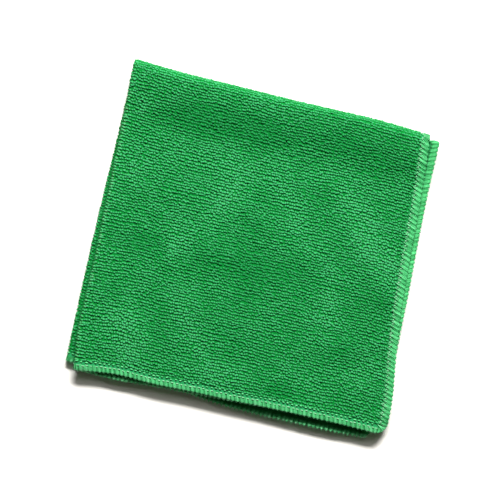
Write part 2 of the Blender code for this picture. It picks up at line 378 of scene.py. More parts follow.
# How far stitches stray, in millimetres for places and as shares otherwise: the drift adds up
# from stitch to stitch, and the last four are drawn for each strand or each point of it.
STITCHES_STRAY = {
    "drift": 0.04, "place": 0.13, "reach": 0.04, "light": 0.13,
    "strand": 0.05, "height": 0.03, "width": 0.08, "shade": 0.12,
}

# Short stitches along the seam: their place along the edge as a share of the pitch, their
# place inward as a share of the width, half length, half width and height.
DASH_COLUMNS = "place inward half_length half_width height"
NEEDLE_DASHES = {
    "x": table(DASH_COLUMNS, (0.05, 0.84, 0.75, 0.48, 1.05), (0.55, 0.58, 0.5, 0.34, 1.12)),
    "y": table(DASH_COLUMNS, (0.5, 0.88, 1.0, 0.5, 0.96)),
}
LOOP_DASHES = {
    "x": (),
    "y": table(DASH_COLUMNS, (0.2, 1.56, 0.85, 0.5, 0.95)),
}
DASH = table(
    "run height full",
    (-1.0, 0.45, 0.5),
    (-0.5, 1.0, 1.0),
    (0.5, 1.0, 1.0),
    (1.0, 0.45, 0.5),
)
DASHES_STRAY = {"place": 0.2, "inward": 0.2, "length": 0.15}
DASH_SHADES = (0.5, 1.1)
# No dash stands nearer to a corner of the sheet than this many of its half lengths.
DASH_CLEAR = 2

# --- The yarn, in metres ---

FIBRE_WIDTH = 0.00022
FIBRE_DEPTH = 0.00015
YARN_PATCH = 0.004
# Of the noise in the yarn, this range becomes this much darker to this much lighter.
NOISE_RANGE = (0.3, 0.7)
LIGHTNESS_RANGE = (-0.2, 0.2)
SHEEN_COLOUR = (0.7, 1.0, 0.8, 1.0)
SHEEN_ROUGHNESS = 0.4

# --- The stage, in metres ---

VIEW_WIDTH = 0.3225
CAMERA_DISTANCE = 1.6
LIGHT_DISTANCE = 2.2
LIGHTS = table(
    "name width depth power",
    ("key", 1.5, 0.40, 124.0),
    ("broad", 2.4, 2.4, 28.0),
)
WORLD_STRENGTH = 0.055
WORLD_COLOUR = (0.97, 0.965, 0.66)
LIGHT_COLOUR = (1.0, 0.965, 0.91)
# The middle of the view, in millimetres of the stack.
VIEW_ACROSS = 97.8
VIEW_DOWN = 104.8
STACK_TOP = 9.0

# --- Names and seeds ---

GROUND = "ground_knit"
SEAM_PIECES = ("needle_thread", "seam_loops")
FLAT_MAP = "flat_cloth"
BAKE_MAP = "OFBake"
TIP_ATTRIBUTE = "tip"
SHADE_ATTRIBUTE = "shade"
SEED = 41
HEM_SEED = SEED + 11
# Cells along each side of a random field, and the step over which the sheet's directions are
# taken.
NOISE_CELLS = 256
PROBE = 0.05
# Clear border of each piece's own cell in the bake map, as a share of the cell.
BAKE_MARGIN = 0.04


def soft_step(value):
    """Ease from 0 to 1 as value goes from 0 to 1."""
    value = np.clip(value, 0.0, 1.0)
    return value * value * (3.0 - 2.0 * value)


def along(stations, share):
    """Smooth curve through evenly spaced stations, read at a share from 0 to 1."""
    stations = np.asarray(stations, dtype=float)
    last = len(stations) - 1
    before = 2 * stations[0] - stations[1]
    after = 2 * stations[-1] - stations[-2]
    padded = np.concatenate([[before], stations, [after]])
    place = np.clip(share, 0.0, 1.0) * last
    start = np.minimum(place.astype(int), last - 1)
    part = place - start
    a, b, c, d = (padded[start + offset] for offset in range(4))
    slope = c - a
    square = 2 * a - 5 * b + 4 * c - d
    cube = 3 * b - a - 3 * c + d
    return 0.5 * (2 * b + part * (slope + part * (square + part * cube)))


def in_layer(values, across_fold, down_fold):
    """Of four values, top layer first, each point of the sheet takes that of its own layer."""
    first, second, third, fourth = values
    upper = np.where(across_fold >= 0, first, second)
    lower = np.where(across_fold >= 0, fourth, third)
    return np.where(down_fold <= 0, upper, lower)


def hem_edge(name, across_fold, down_fold, share):
    """Where one hemmed edge of each point's layer lies, at a share of the way along it."""
    edges = [along(hems[name], share) for hems in LAYER_HEMS.values()]
    return in_layer(edges, across_fold, down_fold)


def round_corners(across_fold, down_fold):
    """Pull the four corners of the flat sheet in to their radii."""
    radius = in_layer(CORNER_RADIUS.values(), across_fold, down_fold)
    flat = np.stack([across_fold, down_fold])
    out = np.clip((np.abs(flat) - (HALF_SIDE - radius)) / radius, 0.0, 1.0)
    pulled = out * (1.0 - np.sqrt(1.0 - out[::-1] ** 2 / 2)) * radius
    return flat - np.sign(flat) * pulled


def patch_share(patch, across, down):
    """From 1 in the middle of a long soft patch to 0 away from it."""
    turn = np.radians(patch["turn"])
    right = across - patch["across"]
    front = down - patch["down"]
    lengthways = (right * np.cos(turn) + front * np.sin(turn)) / patch["along"]
    sideways = (front * np.cos(turn) - right * np.sin(turn)) / patch["aside"]
    return np.exp(-(lengthways**2) - sideways**2)


def ridge_height(ridges, across, down, below):
    """Height that ridges add at a place of the stack, "below" being 1 in a pair's lower layer."""
    height = np.zeros_like(across)
    for ridge in ridges:
        share = 1.0 + (ridge["below"] - 1.0) * below
        height = height + share * ridge["rise"] * patch_share(ridge, across, down)
    return height


def turn_and_leg(flat, half_fold):
    """How far the sheet has turned on the way from a fold line, and its straight leg beyond."""
    away = np.abs(flat)
    return np.clip(away / half_fold, 0.0, 1.0) * np.pi / 2, np.maximum(away - half_fold, 0.0)


def fold(flat_x, flat_y):
    """Carry points of the flat sheet, measured from its two fold lines, into the stack."""
    flat_x, flat_y = round_corners(flat_x, flat_y)

    # The side fold: a half turn at the middle of the sheet, then two straight legs.
    hairpin_turn, side_leg = turn_and_leg(flat_x, HALF_HAIRPIN)
    outward = np.sign(flat_x) * np.sin(hairpin_turn)

    # The back fold, in which the outer layer has the larger radius.
    back_turn, front_leg = turn_and_leg(flat_y, HALF_BACK_FOLD)
    on_top = np.where(flat_y <= 0, 1.0, -1.0)

    settled = soft_step((front_leg - PUFF_STARTS) / (PUFF_ENDS - PUFF_STARTS))
    swelling = 2 * HAIRPIN_RADIUS / PAIR_SPACING_FLAT - 1
    swollen = 1 + swelling * (1 - soft_step(side_leg / HAIRPIN_RUN)) * settled
    pair = PAIR_SPACING_BACK + (PAIR_SPACING_FLAT - PAIR_SPACING_BACK) * settled
    pair = pair * swollen
    middle = MIDDLE_SPACING_BACK + (MIDDLE_SPACING_FLAT - MIDDLE_SPACING_BACK) * settled
    reach = (middle + pair * (1 + outward)) / 2
    stack_middle = (CLOTH_THICKNESS + middle) / 2 + pair

    # Where the layer's edges lie.
    side_share = side_leg / (HALF_SIDE - HALF_HAIRPIN)
    front_share = front_leg / (HALF_SIDE - HALF_BACK_FOLD)
    upper_fold = along(SIDE_FOLD_ACROSS["upper"], front_share)
    lower_fold = along(SIDE_FOLD_ACROSS["lower"], front_share)
    left = np.where(flat_y <= 0, upper_fold, lower_fold) + HAIRPIN_RADIUS + CLOTH_THICKNESS / 2
    right = hem_edge("side_across", flat_x, flat_y, front_share)
    back = along(BACK_EDGE_DOWN, side_share) + OUTER_RADIUS
    front = hem_edge("front_down", flat_x, flat_y, side_share)

    across = left + (right - left) * side_share - HAIRPIN_RADIUS * np.cos(hairpin_turn)
    down = back + (front - back) * front_share - reach * np.cos(back_turn)
    height = stack_middle + on_top * reach * np.sin(back_turn)
    ridges = ridge_height(RIDGES, across, down, (1 - outward) / 2)
    curls = ridge_height(CURLS, across, down, (1 + outward) / 2)
    height = height + np.where(flat_y <= 0, ridges, curls) * np.sin(back_turn) ** 2
    return across, down, height


def unit(vectors):
    """The same directions at length 1."""
    return vectors / np.maximum(np.linalg.norm(vectors, axis=-1, keepdims=True), 1e-12)


def stack_point(flat_x, flat_y):
    """Where points of the flat sheet lie in the stack, as x, y towards the back and height."""
    across, down, height = fold(flat_x, flat_y)
    return np.stack([across, -down, height], axis=-1)


def sheet_frame(flat_x, flat_y):
    """Middle of the sheet, its two directions along the cloth and its outward side."""
    inside = HALF_SIDE - 2 * PROBE
    flat_x, flat_y = np.clip([flat_x, flat_y], -inside, inside)
    middle = stack_point(flat_x, flat_y)
    along_x = unit(stack_point(flat_x + PROBE, flat_y) - stack_point(flat_x - PROBE, flat_y))
    along_y = unit(stack_point(flat_x, flat_y + PROBE) - stack_point(flat_x, flat_y - PROBE))
    outward = unit(np.cross(along_x, along_y))
    return middle, along_x, along_y, outward


def stack_shift():
    """From the stack's own corner to the object's frame, in millimetres."""
    line = np.linspace(-HALF_SIDE, HALF_SIDE, int(CLOTH_SIDE) + 1)
    points = stack_point(*np.meshgrid(line, line)).reshape(-1, 3)
    # The sheet's outside is half a thickness further out, at the folds on the left and the back.
    left, front, _ = points.min(axis=0) - (CLOTH_THICKNESS / 2, 0.0, 0.0)
    right, back, _ = points.max(axis=0) + (0.0, CLOTH_THICKNESS / 2, 0.0)
    low, high = np.array(CLOTH_BOX) / MM
    middle = (low + high) / 2
    return np.array([middle[0] - (left + right) / 2, middle[1] - (back + front) / 2, low[2]])


SHIFT = stack_shift()


def smooth_noise(x, y, size, seed):
    """Soft random field from -1 to 1 whose bumps are about size apart."""
    draw = np.random.default_rng(seed)
    grid = draw.uniform(-1.0, 1.0, (NOISE_CELLS, NOISE_CELLS))
    place = np.stack([x, y]) / size + NOISE_CELLS / 2
    column, row = np.floor(place).astype(int)
    part_x, part_y = soft_step(place - np.floor(place))

    def at(step_x, step_y):
        return grid[(row + step_y) % NOISE_CELLS, (column + step_x) % NOISE_CELLS]

    near = at(0, 0) + (at(1, 0) - at(0, 0)) * part_x
    far = at(0, 1) + (at(1, 1) - at(0, 1)) * part_x
    return near + (far - near) * part_y


def uneven(kind, x, y):
    """Soft unevenness of the pile at places of the flat sheet."""
    field = UNEVEN[kind]
    noise = smooth_noise(x, y * field["closer"], field["size"], SEED + field["seed"])
    return noise * field["strength"]


def straying(draw, spreads, shape):
    """A function that draws, for one kind of spread, how far each of many things strays."""

    def stray(kind, middle=0.0):
        return draw.normal(middle, spreads[kind], shape)

    return stray


def column_of(rows, name):
    """One named column of a table."""
    return np.array([row[name] for row in rows])


# --- Meshes ---


def new_object(name, data):
    """Put a mesh, a light or a camera into the scene."""
    item = bpy.data.objects.new(name, data)
    bpy.context.scene.collection.objects.link(item)
    return item


def grid_sheet(columns, rows, size):
    """A flat bmesh grid about the origin, size being half its side."""
    sheet = bmesh.new()
    bmesh.ops.create_grid(sheet, x_segments=columns, y_segments=rows, size=size)
    return sheet


def finished_mesh(name, shape):
    """A mesh from a bmesh, which is freed."""
    mesh = bpy.data.meshes.new(name)
    shape.to_mesh(mesh)
    shape.free()
    return mesh


def finished_object(name, mesh, material):
    """Put a mesh into the scene as a piece that rides on the cloth's body."""
    piece = new_object(name, mesh)
    piece.data.materials.append(material)
    piece.data.shade_smooth()
    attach(piece, "root")
    return piece


def store(mesh, attribute, values):
    """Keep one number for each vertex of a mesh."""
    stored = mesh.attributes.new(attribute, "FLOAT", "POINT")
    stored.data.foreach_set("value", values.astype(np.float32).ravel())


def bake_places(count, places):
    """Places from 0 to 1 on each of many pieces, in each piece's own cell of a square grid."""
    cells = int(np.ceil(np.sqrt(count)))
    index = np.arange(count)
    corner = np.stack([index % cells, index // cells], axis=-1)[:, None, :]
    return (corner + BAKE_MARGIN + places * (1.0 - 2 * BAKE_MARGIN)) / cells


def joined_mesh(name, points, faces, places, tips, shades):
    """One mesh from many like pieces: points (pieces, corners, 3) and the template's faces.

    Places runs from 0 to 1 over a piece, for its cell of the bake map. Tips runs from a piece's
    root to its tip. Shades runs from dark yarn at 0 to light at 1 and pale at 2; besides the
    yarn's own tone, it carries painted light and shade.
    """
    pieces, corners = points.shape[:2]
    first_corner = (np.arange(pieces) * corners)[:, None]
    loops = np.concatenate(faces)
    sizes = np.array([len(face) for face in faces])
    starts = np.concatenate([[0], np.cumsum(sizes)[:-1]])
    all_loops = (first_corner + loops[None, :]).ravel()
    all_starts = (np.arange(pieces)[:, None] * len(loops) + starts[None, :]).ravel()

    mesh = bpy.data.meshes.new(name)
    mesh.vertices.add(pieces * corners)
    mesh.vertices.foreach_set("co", ((points + SHIFT) * MM).astype(np.float32).ravel())
    mesh.loops.add(len(all_loops))
    mesh.loops.foreach_set("vertex_index", all_loops.astype(np.int32))
    mesh.polygons.add(len(all_starts))
    mesh.polygons.foreach_set("loop_start", all_starts.astype(np.int32))
    mesh.update(calc_edges=True)

    layer = mesh.uv_layers.new(name=BAKE_MAP)
    cells = bake_places(pieces, places).reshape(-1, 2)[all_loops]
    layer.uv.foreach_set("vector", cells.astype(np.float32).ravel())
    store(mesh, TIP_ATTRIBUTE, np.broadcast_to(tips, points.shape[:2]))
    store(mesh, SHADE_ATTRIBUTE, np.broadcast_to(shades, points.shape[:2]))
    mesh.validate()
    return mesh


# --- Materials ---


def feed(node, inputs):
    """Feed a node's inputs from other nodes' outputs, or set them to plain values."""
    for name, value in inputs.items():
        if isinstance(value, bpy.types.NodeSocket):
            node.id_data.links.new(value, node.inputs[name])
        else:
            node.inputs[name].default_value = value


def new_node(tree, kind, inputs=None, **settings):
    """A new shader node with its settings, its inputs fed."""
    node = tree.nodes.new("ShaderNode" + kind)
    for name, value in settings.items():
        setattr(node, name, value)
    feed(node, inputs or {})
    return node


def calculate(tree, operation, first, second, clamped=False):
    """The result of one sum on outputs or plain values."""
    numbers = {0: first, 1: second}
    return new_node(tree, "Math", numbers, operation=operation, use_clamp=clamped).outputs[0]


def mix_colours(tree, share, low, high):
    """A colour from low at a share of 0 to high at 1."""
    # The node has one set of sockets for each kind of data; these are the colour's.
    return new_node(tree, "Mix", {0: share, 6: low, 7: high}, data_type="RGBA").outputs[2]


def shader_group(name, **sockets):
    """A new node group with named sockets, and its entry and leaving nodes."""
    tree = bpy.data.node_groups.new(name, "ShaderNodeTree")
    for way, labels in sockets.items():
        for label, kind in labels.items():
            tree.interface.new_socket(label, in_out=way, socket_type="NodeSocket" + kind)
    return tree, tree.nodes.new("NodeGroupInput"), tree.nodes.new("NodeGroupOutput")


def fibre_group():
    """Fine fibres on yarn: their height, and how much lighter the yarn is at a place."""
    name = "yarn_fibres"
    if name in bpy.data.node_groups:
        return bpy.data.node_groups[name]
    tree, entry, leave = shader_group(
        name,
        INPUT={"Place": "Vector", "Fibre width": "Float", "Patch size": "Float"},
        OUTPUT={"Height": "Float", "Lightness": "Float"},
    )

    def noise(size, **inputs):
        inputs["Vector"] = entry.outputs["Place"]
        inputs["Scale"] = calculate(tree, "DIVIDE", 1.0, entry.outputs[size])
        return new_node(tree, "TexNoise", inputs, noise_dimensions="3D").outputs["Fac"]

    fibres = noise("Fibre width", Detail=1.5, Roughness=0.6, Distortion=0.8)
    patches = noise("Patch size", Detail=2.0)
    both = calculate(tree, "ADD", patches, fibres)
    feed(leave, {"Height": fibres, "Lightness": calculate(tree, "MULTIPLY", both, 0.5)})
    return tree


def knit_group():
    """Ribs of the ground knit, by the place on the flat cloth."""
    tree, entry, leave = shader_group(
        "knit_ribs",
        INPUT={"Place": "Vector", "Rib pitch": "Float"},
        OUTPUT={"Height": "Float"},
    )
    # At scale 1 the bands of a wave texture are a 20th of a full turn apart.
    scale = calculate(tree, "DIVIDE", 1.0 / 20.0, entry.outputs["Rib pitch"])
    wave = {"Vector": entry.outputs["Place"], "Distortion": 1.5}
    wave["Scale"] = calculate(tree, "MULTIPLY", scale, 2 * np.pi)
    ribs = new_node(tree, "TexWave", wave, wave_type="BANDS", bands_direction="X")
    feed(leave, {"Height": ribs.outputs["Fac"]})
    return tree


def yarn_material(name, colours, roughness, specular, sheen, bump):
    """Yarn with fine fibres, whose colour runs from its root to a dark, light or pale tip."""
    root, dark, light, pale = (tuple(green) for green in colours)
    material = bpy.data.materials.new(name)
    material.use_nodes = True
    tree = material.node_tree
    place = new_node(tree, "TexCoord").outputs["Object"]
    threads = {"Place": place, "Fibre width": FIBRE_WIDTH, "Patch size": YARN_PATCH}
    fibres = new_node(tree, "Group", threads, node_tree=fibre_group(), name="fibres")
    noise = dict(zip(("From Min", "From Max", "To Min", "To Max"), NOISE_RANGE + LIGHTNESS_RANGE))
    noise["Value"] = fibres.outputs["Lightness"]
    lighter = new_node(tree, "MapRange", noise).outputs["Result"]

    shade = new_node(tree, "Attribute", attribute_name=SHADE_ATTRIBUTE).outputs["Fac"]
    shade = calculate(tree, "ADD", shade, lighter)
    pale_share = calculate(tree, "SUBTRACT", shade, 1.0, clamped=True)
    tip_colour = mix_colours(tree, pale_share, mix_colours(tree, shade, dark, light), pale)
    tip = new_node(tree, "Attribute", attribute_name=TIP_ATTRIBUTE).outputs["Fac"]
    depth = {"Height": fibres.outputs["Height"], "Strength": bump, "Distance": FIBRE_DEPTH}
    relief = new_node(tree, "Bump", depth, name="relief")
    feed(tree.nodes["Principled BSDF"], {
        "Base Color": mix_colours(tree, tip, root, tip_colour),
        "Normal": relief.outputs["Normal"],
        "Roughness": roughness,
        "Specular IOR Level": specular,
        "Sheen Weight": sheen,
        "Sheen Roughness": SHEEN_ROUGHNESS,
        "Sheen Tint": SHEEN_COLOUR,
    })
    return material


def add_knit(material, rib_pitch):
    """Lay the ribs of the ground knit under the fibres of a yarn material."""
    tree = material.node_tree
    flat = new_node(tree, "UVMap", uv_map=FLAT_MAP).outputs["UV"]
    lines = {"Place": flat, "Rib pitch": rib_pitch}
    ribs = new_node(tree, "Group", lines, node_tree=knit_group())
    fibres = tree.nodes["fibres"].outputs["Height"]
    both = calculate(tree, "ADD", fibres, ribs.outputs["Height"])
    feed(tree.nodes["relief"], {"Height": both})


# --- Settings ---


def length(name, description, default):
    """A length that a user may change, in metres."""
    return bpy.props.FloatProperty(
        name=name, description=description, default=default, unit="LENGTH", precision=5
    )


def colour(name, description, default):
    """A colour that a user may change."""
    return bpy.props.FloatVectorProperty(
        name=name, description=description, default=default + (1.0,),
        size=4, subtype="COLOR", min=0.0, max=1.0,
    )


def angle(name, description, degrees):
    """An angle that a user may change, its default given in degrees."""
    return bpy.props.FloatProperty(
        name=name, description=description, default=np.radians(degrees), subtype="ANGLE"
    )


class PileSettings(bpy.types.PropertyGroup):
    """Sizes and greens of the ground knit and the pile"""

    row_pitch: length("Row pitch", "Distance between rows of pile", 0.00195)
    tuft_pitch: length("Tuft pitch", "Distance between tufts along a row", 0.0015)
    tuft_length: length("Tuft length", "Length of a tuft along its row", 0.0022)
    tuft_width: length("Tuft width", "Width of a tuft across its row", 0.0016)
    ground_thickness: length("Ground thickness", "Thickness of the knit under the pile", 0.0004)
    rib_pitch: length("Rib pitch", "Distance between ribs of the knit", 0.0009)
    # The ground and root greens are darker than the tips: painted shade deep in the pile.
    ground_colour: colour("Ground colour", "Green between the tufts", (0.000, 0.168, 0.024))
    root_painted_shade: colour("Root colour", "Deep green at the foot of a tuft", (0.0, 0.148, 0.002))
    tip_dark: colour("Dark tip colour", "Darker green of the tips", (0.013, 0.214, 0.070))
    tip_light: colour("Light tip colour", "Lighter green of the tips", (0.044, 0.384, 0.152))
    # Pale tips are a painted highlight, laid along the upper fold's shoulder.
    tip_pale_highlight: colour("Pale tip colour", "Green of worn tips", (0.13, 0.33, 0.18))


class HemSettings(bpy.types.PropertyGroup):
    """Greens of the threads in the hem"""

    thread_dark: colour("Dark thread colour", "Darker green of the thread", (0.006, 0.23, 0.055))
    thread_light: colour("Light thread colour", "Lighter green of the thread", (0.076, 0.52, 0.190))
    thread_pale: colour("Pale thread colour", "Whitish green of its fibres", (0.27, 0.58, 0.38))
    needle_dark: colour("Needle thread colour", "Green of the seam's thread", (0.07, 0.30, 0.13))
    needle_light: colour("Light needle thread", "Whitish green of that thread", (0.15, 0.42, 0.23))


class StageSettings(bpy.types.PropertyGroup):
    """The floor, and the angles of the light and the camera"""

    floor_side: length("Floor side", "Side of the pale floor", 8.0)
    floor_colour: colour("Floor colour", "Colour of the floor", (0.9, 0.9, 0.9))
    light_height: angle("Light height", "Height of the lights above the floor", 40.0)
    light_turn: angle("Light turn", "Turn of the lights from the back towards the left", 1.0)
    camera_turn: angle("Camera turn", "Turn of the camera about its line of sight", 12.0)


# --- Pieces ---


def ground_lines(half_fold, fold_steps):
    """Grid lines across the flat sheet, closer in the hems and the fold."""
    hem = [HALF_SIDE - distance for distance in HEM_LINES]
    steps = int((hem[-1] - half_fold) / GROUND_STEP)
    leg = list(np.linspace(hem[-1], half_fold, steps + 1)[1:])
    bend = list(np.linspace(half_fold, -half_fold, fold_steps + 1)[1:-1])
    one_side = hem + leg
    return np.array(one_side + bend + [-value for value in reversed(one_side)])[::-1]


class CLOTH_OT_ground(bpy.types.Operator):
    """Fold the ground knit of the cloth, hem to hem, as one sheet"""

    bl_idname = "cloth.ground"
    bl_label = "Ground knit"

    def execute(self, context):
        pile = context.scene.cloth_pile
        hem = context.scene.cloth_hem
        lines_x = ground_lines(HALF_HAIRPIN, HAIRPIN_STEPS)
        lines_y = ground_lines(HALF_BACK_FOLD, BACK_FOLD_STEPS)
        steps_x = len(lines_x) - 1
        steps_y = len(lines_y) - 1
        sheet = grid_sheet(steps_x, steps_y, 1.0)
        columns = [round((vert.co.x + 1) / 2 * steps_x) for vert in sheet.verts]
        rows = [round((vert.co.y + 1) / 2 * steps_y) for vert in sheet.verts]
        flat_x = lines_x[columns]
        flat_y = lines_y[rows]
        places = (stack_point(flat_x, flat_y) + SHIFT) * MM
        flat_map = sheet.loops.layers.uv.new(FLAT_MAP)
        for face in sheet.faces:
            for loop in face.loops:
                index = loop.vert.index
                loop[flat_map].uv = (flat_x[index] * MM, flat_y[index] * MM)
        for vert, place in zip(sheet.verts, places):
            vert.co = place
        mesh = finished_mesh(GROUND, sheet)

        from_edge = HALF_SIDE - np.maximum(np.abs(flat_x), np.abs(flat_y))
        store(mesh, TIP_ATTRIBUTE, np.interp(from_edge, HEM_TINT_PLACES, HEM_TINTS))
        store(mesh, SHADE_ATTRIBUTE, np.zeros(len(flat_x)))
        material = yarn_material(
            "ground_knit_green",
            (pile.ground_colour, pile.tip_dark, hem.thread_dark, hem.thread_dark),
            roughness=0.95, specular=0.1, sheen=0.0, bump=0.6,
        )
        add_knit(material, pile.rib_pitch)
        ground = finished_object(GROUND, mesh, material)
        group = ground.vertex_groups.new(name="thickness")
        thin = pile.ground_thickness / MM / HEM_GROUND
        share = np.interp(from_edge, HEM_THICK_PLACES, (*HEM_THICK_SHARES, thin))
        for index, value in enumerate(share):
            group.add([index], float(value), "REPLACE")
        shell = ground.modifiers.new("thickness", "SOLIDIFY")
        shell.thickness = HEM_GROUND * MM
        shell.offset = 0.0
        shell.use_even_offset = True
        shell.vertex_group = group.name
        return {"FINISHED"}


def tuft_template():
    """A small dome, one unit in radius and height."""
    dome = bmesh.new()
    bmesh.ops.create_circle(dome, segments=DOME_SIDES, radius=1.0, cap_ends=False)
    risen = bmesh.ops.extrude_edge_only(dome, edges=dome.edges[:])["geom"]
    upper = [item for item in risen if isinstance(item, bmesh.types.BMVert)]
    bmesh.ops.scale(dome, vec=(DOME_RING_RADIUS, DOME_RING_RADIUS, 1.0), verts=upper)
    bmesh.ops.translate(dome, vec=(0.0, 0.0, DOME_RING_HEIGHT), verts=upper)
    rim = [item for item in risen if isinstance(item, bmesh.types.BMEdge)]
    cap = bmesh.ops.contextual_create(dome, geom=rim)["faces"]
    crown = bmesh.ops.poke(dome, faces=cap)["verts"]
    for vert in crown:
        vert.co.z = 1.0
    bmesh.ops.recalc_face_normals(dome, faces=dome.faces[:])
    # The order in which these operators leave things changes from run to run, so it is set here.
    dome.verts.sort(key=lambda vert: vert.co.z * 100 + vert.co.x * 10 + vert.co.y)
    dome.verts.index_update()
    corners = np.array([vert.co[:] for vert in dome.verts])
    faces = [[vert.index for vert in face.verts] for face in dome.faces]
    dome.free()
    # Faces point outwards, and the last one belongs to the crown, which looks up.
    first, second, third = corners[faces[-1]][:3]
    if np.cross(second - first, third - first)[2] < 0:
        faces = [face[::-1] for face in faces]
    return corners, sorted(faces)


def spread_over(low, high, pitch):
    """Even places from low to high, at about the pitch, half a step in from each end."""
    count = max(int(round((high - low) / pitch)), 1)
    return low + (np.arange(count) + 0.5) * (high - low) / count


def tuft_places(field, pile, draw):
    """Rows of tufts over one stretch, each row wavering and broken into short slanted runs.

    The places come as columns of numbers, one row for each tuft.
    """
    closer_x, closer_y = field["closer"]
    rows = spread_over(*field["y"], pile.row_pitch / MM / closer_y)
    columns = spread_over(*field["x"], pile.tuft_pitch / MM / closer_x)
    row_seeds = draw.uniform(0.0, 1.0, len(rows))
    x, y = np.meshgrid(columns, rows)
    x = x + row_seeds[:, None] * pile.tuft_pitch / MM
    offset = np.broadcast_to(row_seeds[:, None] * RUN_OFFSET, x.shape).ravel()
    x, y = x.ravel(), y.ravel()
    stray = straying(draw, TUFTS_STRAY, x.shape)
    x = x + stray("along") / closer_x
    sway = uneven("sway", x, y) + uneven("ripple", x, y)
    runs = x / RUN_LENGTH + uneven("breaks", x, y) + offset
    slant = RUN_SLANT * (0.5 - (runs - np.floor(runs)))
    y = y + (sway + slant + stray("aside")) / closer_y
    kept = (HALF_SIDE - np.abs(x) > SIDE_HEM) & (HALF_SIDE - np.abs(y) > FRONT_HEM)
    return x[kept][:, None], y[kept][:, None]


def brushed(middle, flat_y, side):
    """Strength of the nap patches at places of the stack, on the top layer's face: they brush the
    pile and paint light, or below zero shade, on it.
    """
    nap = sum(patch["light"] * patch_share(patch, middle[..., 0], -middle[..., 1]) for patch in NAP)
    return np.where((flat_y < 0) & (side > 0), nap, 0.0)


def beside_upper_fold(middle, flat_x, flat_y):
    """Share of full height, and painted light and shade added, for tufts beside the upper side
    fold.
    """
    front_share = turn_and_leg(flat_y, HALF_BACK_FOLD)[1] / (HALF_SIDE - HALF_BACK_FOLD)
    right_of_fold = middle[..., 0] - along(SIDE_FOLD_ACROSS["upper"], front_share)
    lower = (flat_y > HALF_BACK_FOLD) & (flat_x < 0)
    free = soft_step(-right_of_fold / PRESSED_AND_SHADED["reach"])
    pressed_height = PRESSED_AND_SHADED["height"] + (1.0 - PRESSED_AND_SHADED["height"]) * free
    pressed_painted_shade = PRESSED_AND_SHADED["light"] * (1.0 - free)
    upper = flat_y < -SHOULDER["from_back"]
    off_shoulder = (right_of_fold - SHOULDER["from_fold"]) / SHOULDER["reach"]
    shoulder_height = SHOULDER["height"] + (1.0 - SHOULDER["height"]) * soft_step(off_shoulder + 1.0)
    fold_edge_share = 1.0 - soft_step((right_of_fold - FOLD_EDGE_SHADE["from_fold"]) / FOLD_EDGE_SHADE["reach"])
    shoulder_painted_light = SHOULDER["light"] / (1.0 + off_shoulder**2) + FOLD_EDGE_SHADE["light"] * fold_edge_share
    height = np.select([lower, upper], [pressed_height, shoulder_height], 1.0)
    light = np.select([lower, upper], [pressed_painted_shade, shoulder_painted_light], 0.0)
    return height, light


def stretch_of_tufts(field, corners, pile, draw):
    """Points, places in the foot's outline, tips and shades of the tufts of one stretch."""
    x, y = tuft_places(field, pile, draw)
    side = field["side"]
    stray = straying(draw, TUFTS_STRAY, x.shape)
    middle, along_x, along_y, outward = sheet_frame(x, y)
    turn = stray("turn", TUFT_TURN)[..., None]
    right = along_x * np.cos(turn) + along_y * np.sin(turn)
    back = along_y * np.cos(turn) - along_x * np.sin(turn)
    patch = uneven("patches", x, y)
    nap = brushed(middle, y, side)
    # lighter: painted shade in the crevice and a painted highlight on the shoulder of the upper
    # fold.
    pressed, lighter = beside_upper_fold(middle, x, y)

    foot = pile.ground_thickness / MM / 2 * FOOT_SUNK
    height = TUFT_HEIGHT + PATCHES_ADD["height"] * patch + stray("height")
    height = (CLOTH_THICKNESS / 2 - foot) * height * pressed
    half_length = pile.tuft_length / MM / 2 * (1.0 + stray("length"))
    width = 1.0 + PATCHES_ADD["width"] * patch + stray("width")
    half_width = pile.tuft_width / MM / 2 * (width + NAP_WIDEN * np.maximum(nap, 0.0))
    lean_x = stray("lean", TUFT_LEAN["along"])
    lean_y = stray("lean", TUFT_LEAN["to_back"]) - NAP_LEAN * np.minimum(nap, NAP_MOST)
    # The nap patches lay painted light and, below zero, painted shade into the tufts' shade value.
    shade = TUFT_SHADE + PATCHES_ADD["shade"] * patch + stray("shade") + NAP_PAINTED_LIGHT * nap
    shade = np.minimum(shade, 1.0) + lighter

    spin = draw.integers(0, DOME_SIDES, x.shape) * (2 * np.pi / DOME_SIDES) + DOME_SPIN
    corner_x, corner_y, rise = corners.T
    unit_x = corner_x * np.cos(spin) - corner_y * np.sin(spin)
    unit_y = corner_x * np.sin(spin) + corner_y * np.cos(spin)
    unit_z = np.broadcast_to(rise, unit_x.shape)
    leaning = unit_z**LEAN_CURVE * height
    local_x = (unit_x * half_length + leaning * lean_x) * side
    local_y = unit_y * half_width + leaning * lean_y
    local_z = (unit_z * height + foot) * side
    points = middle + local_x[..., None] * right + local_y[..., None] * back
    points = points + local_z[..., None] * outward
    points[..., 2] = np.maximum(points[..., 2], LOWEST_TUFT)
    outline = (np.stack([unit_x, unit_y], axis=-1) + 1.0) / 2
    return points, outline, unit_z, shade


def build_tufts(name, fields, pile, material):
    """One piece of joined tufts that stand on the folded sheet."""
    draw = np.random.default_rng(SEED + sum(map(ord, name)))
    corners, faces = tuft_template()
    stretches = [stretch_of_tufts(field, corners, pile, draw) for field in fields]
    points, outline, tips, shades = (np.concatenate(part) for part in zip(*stretches))
    mesh = joined_mesh(name, points, faces, outline, tips, shades)
    return finished_object(name, mesh, material)


class CLOTH_OT_pile(bpy.types.Operator):
    """Stand the rows of looped pile on the ground knit"""

    bl_idname = "cloth.pile"
    bl_label = "Looped pile"

    def execute(self, context):
        pile = context.scene.cloth_pile
        material = yarn_material(
            "pile_green", (pile.root_painted_shade, pile.tip_dark, pile.tip_light, pile.tip_pale_highlight),
            roughness=0.6, specular=0.08, sheen=0.0, bump=0.45,
        )
        for name, fields in PILE_FIELDS.items():
            build_tufts(name, fields, pile, material)
        return {"FINISHED"}


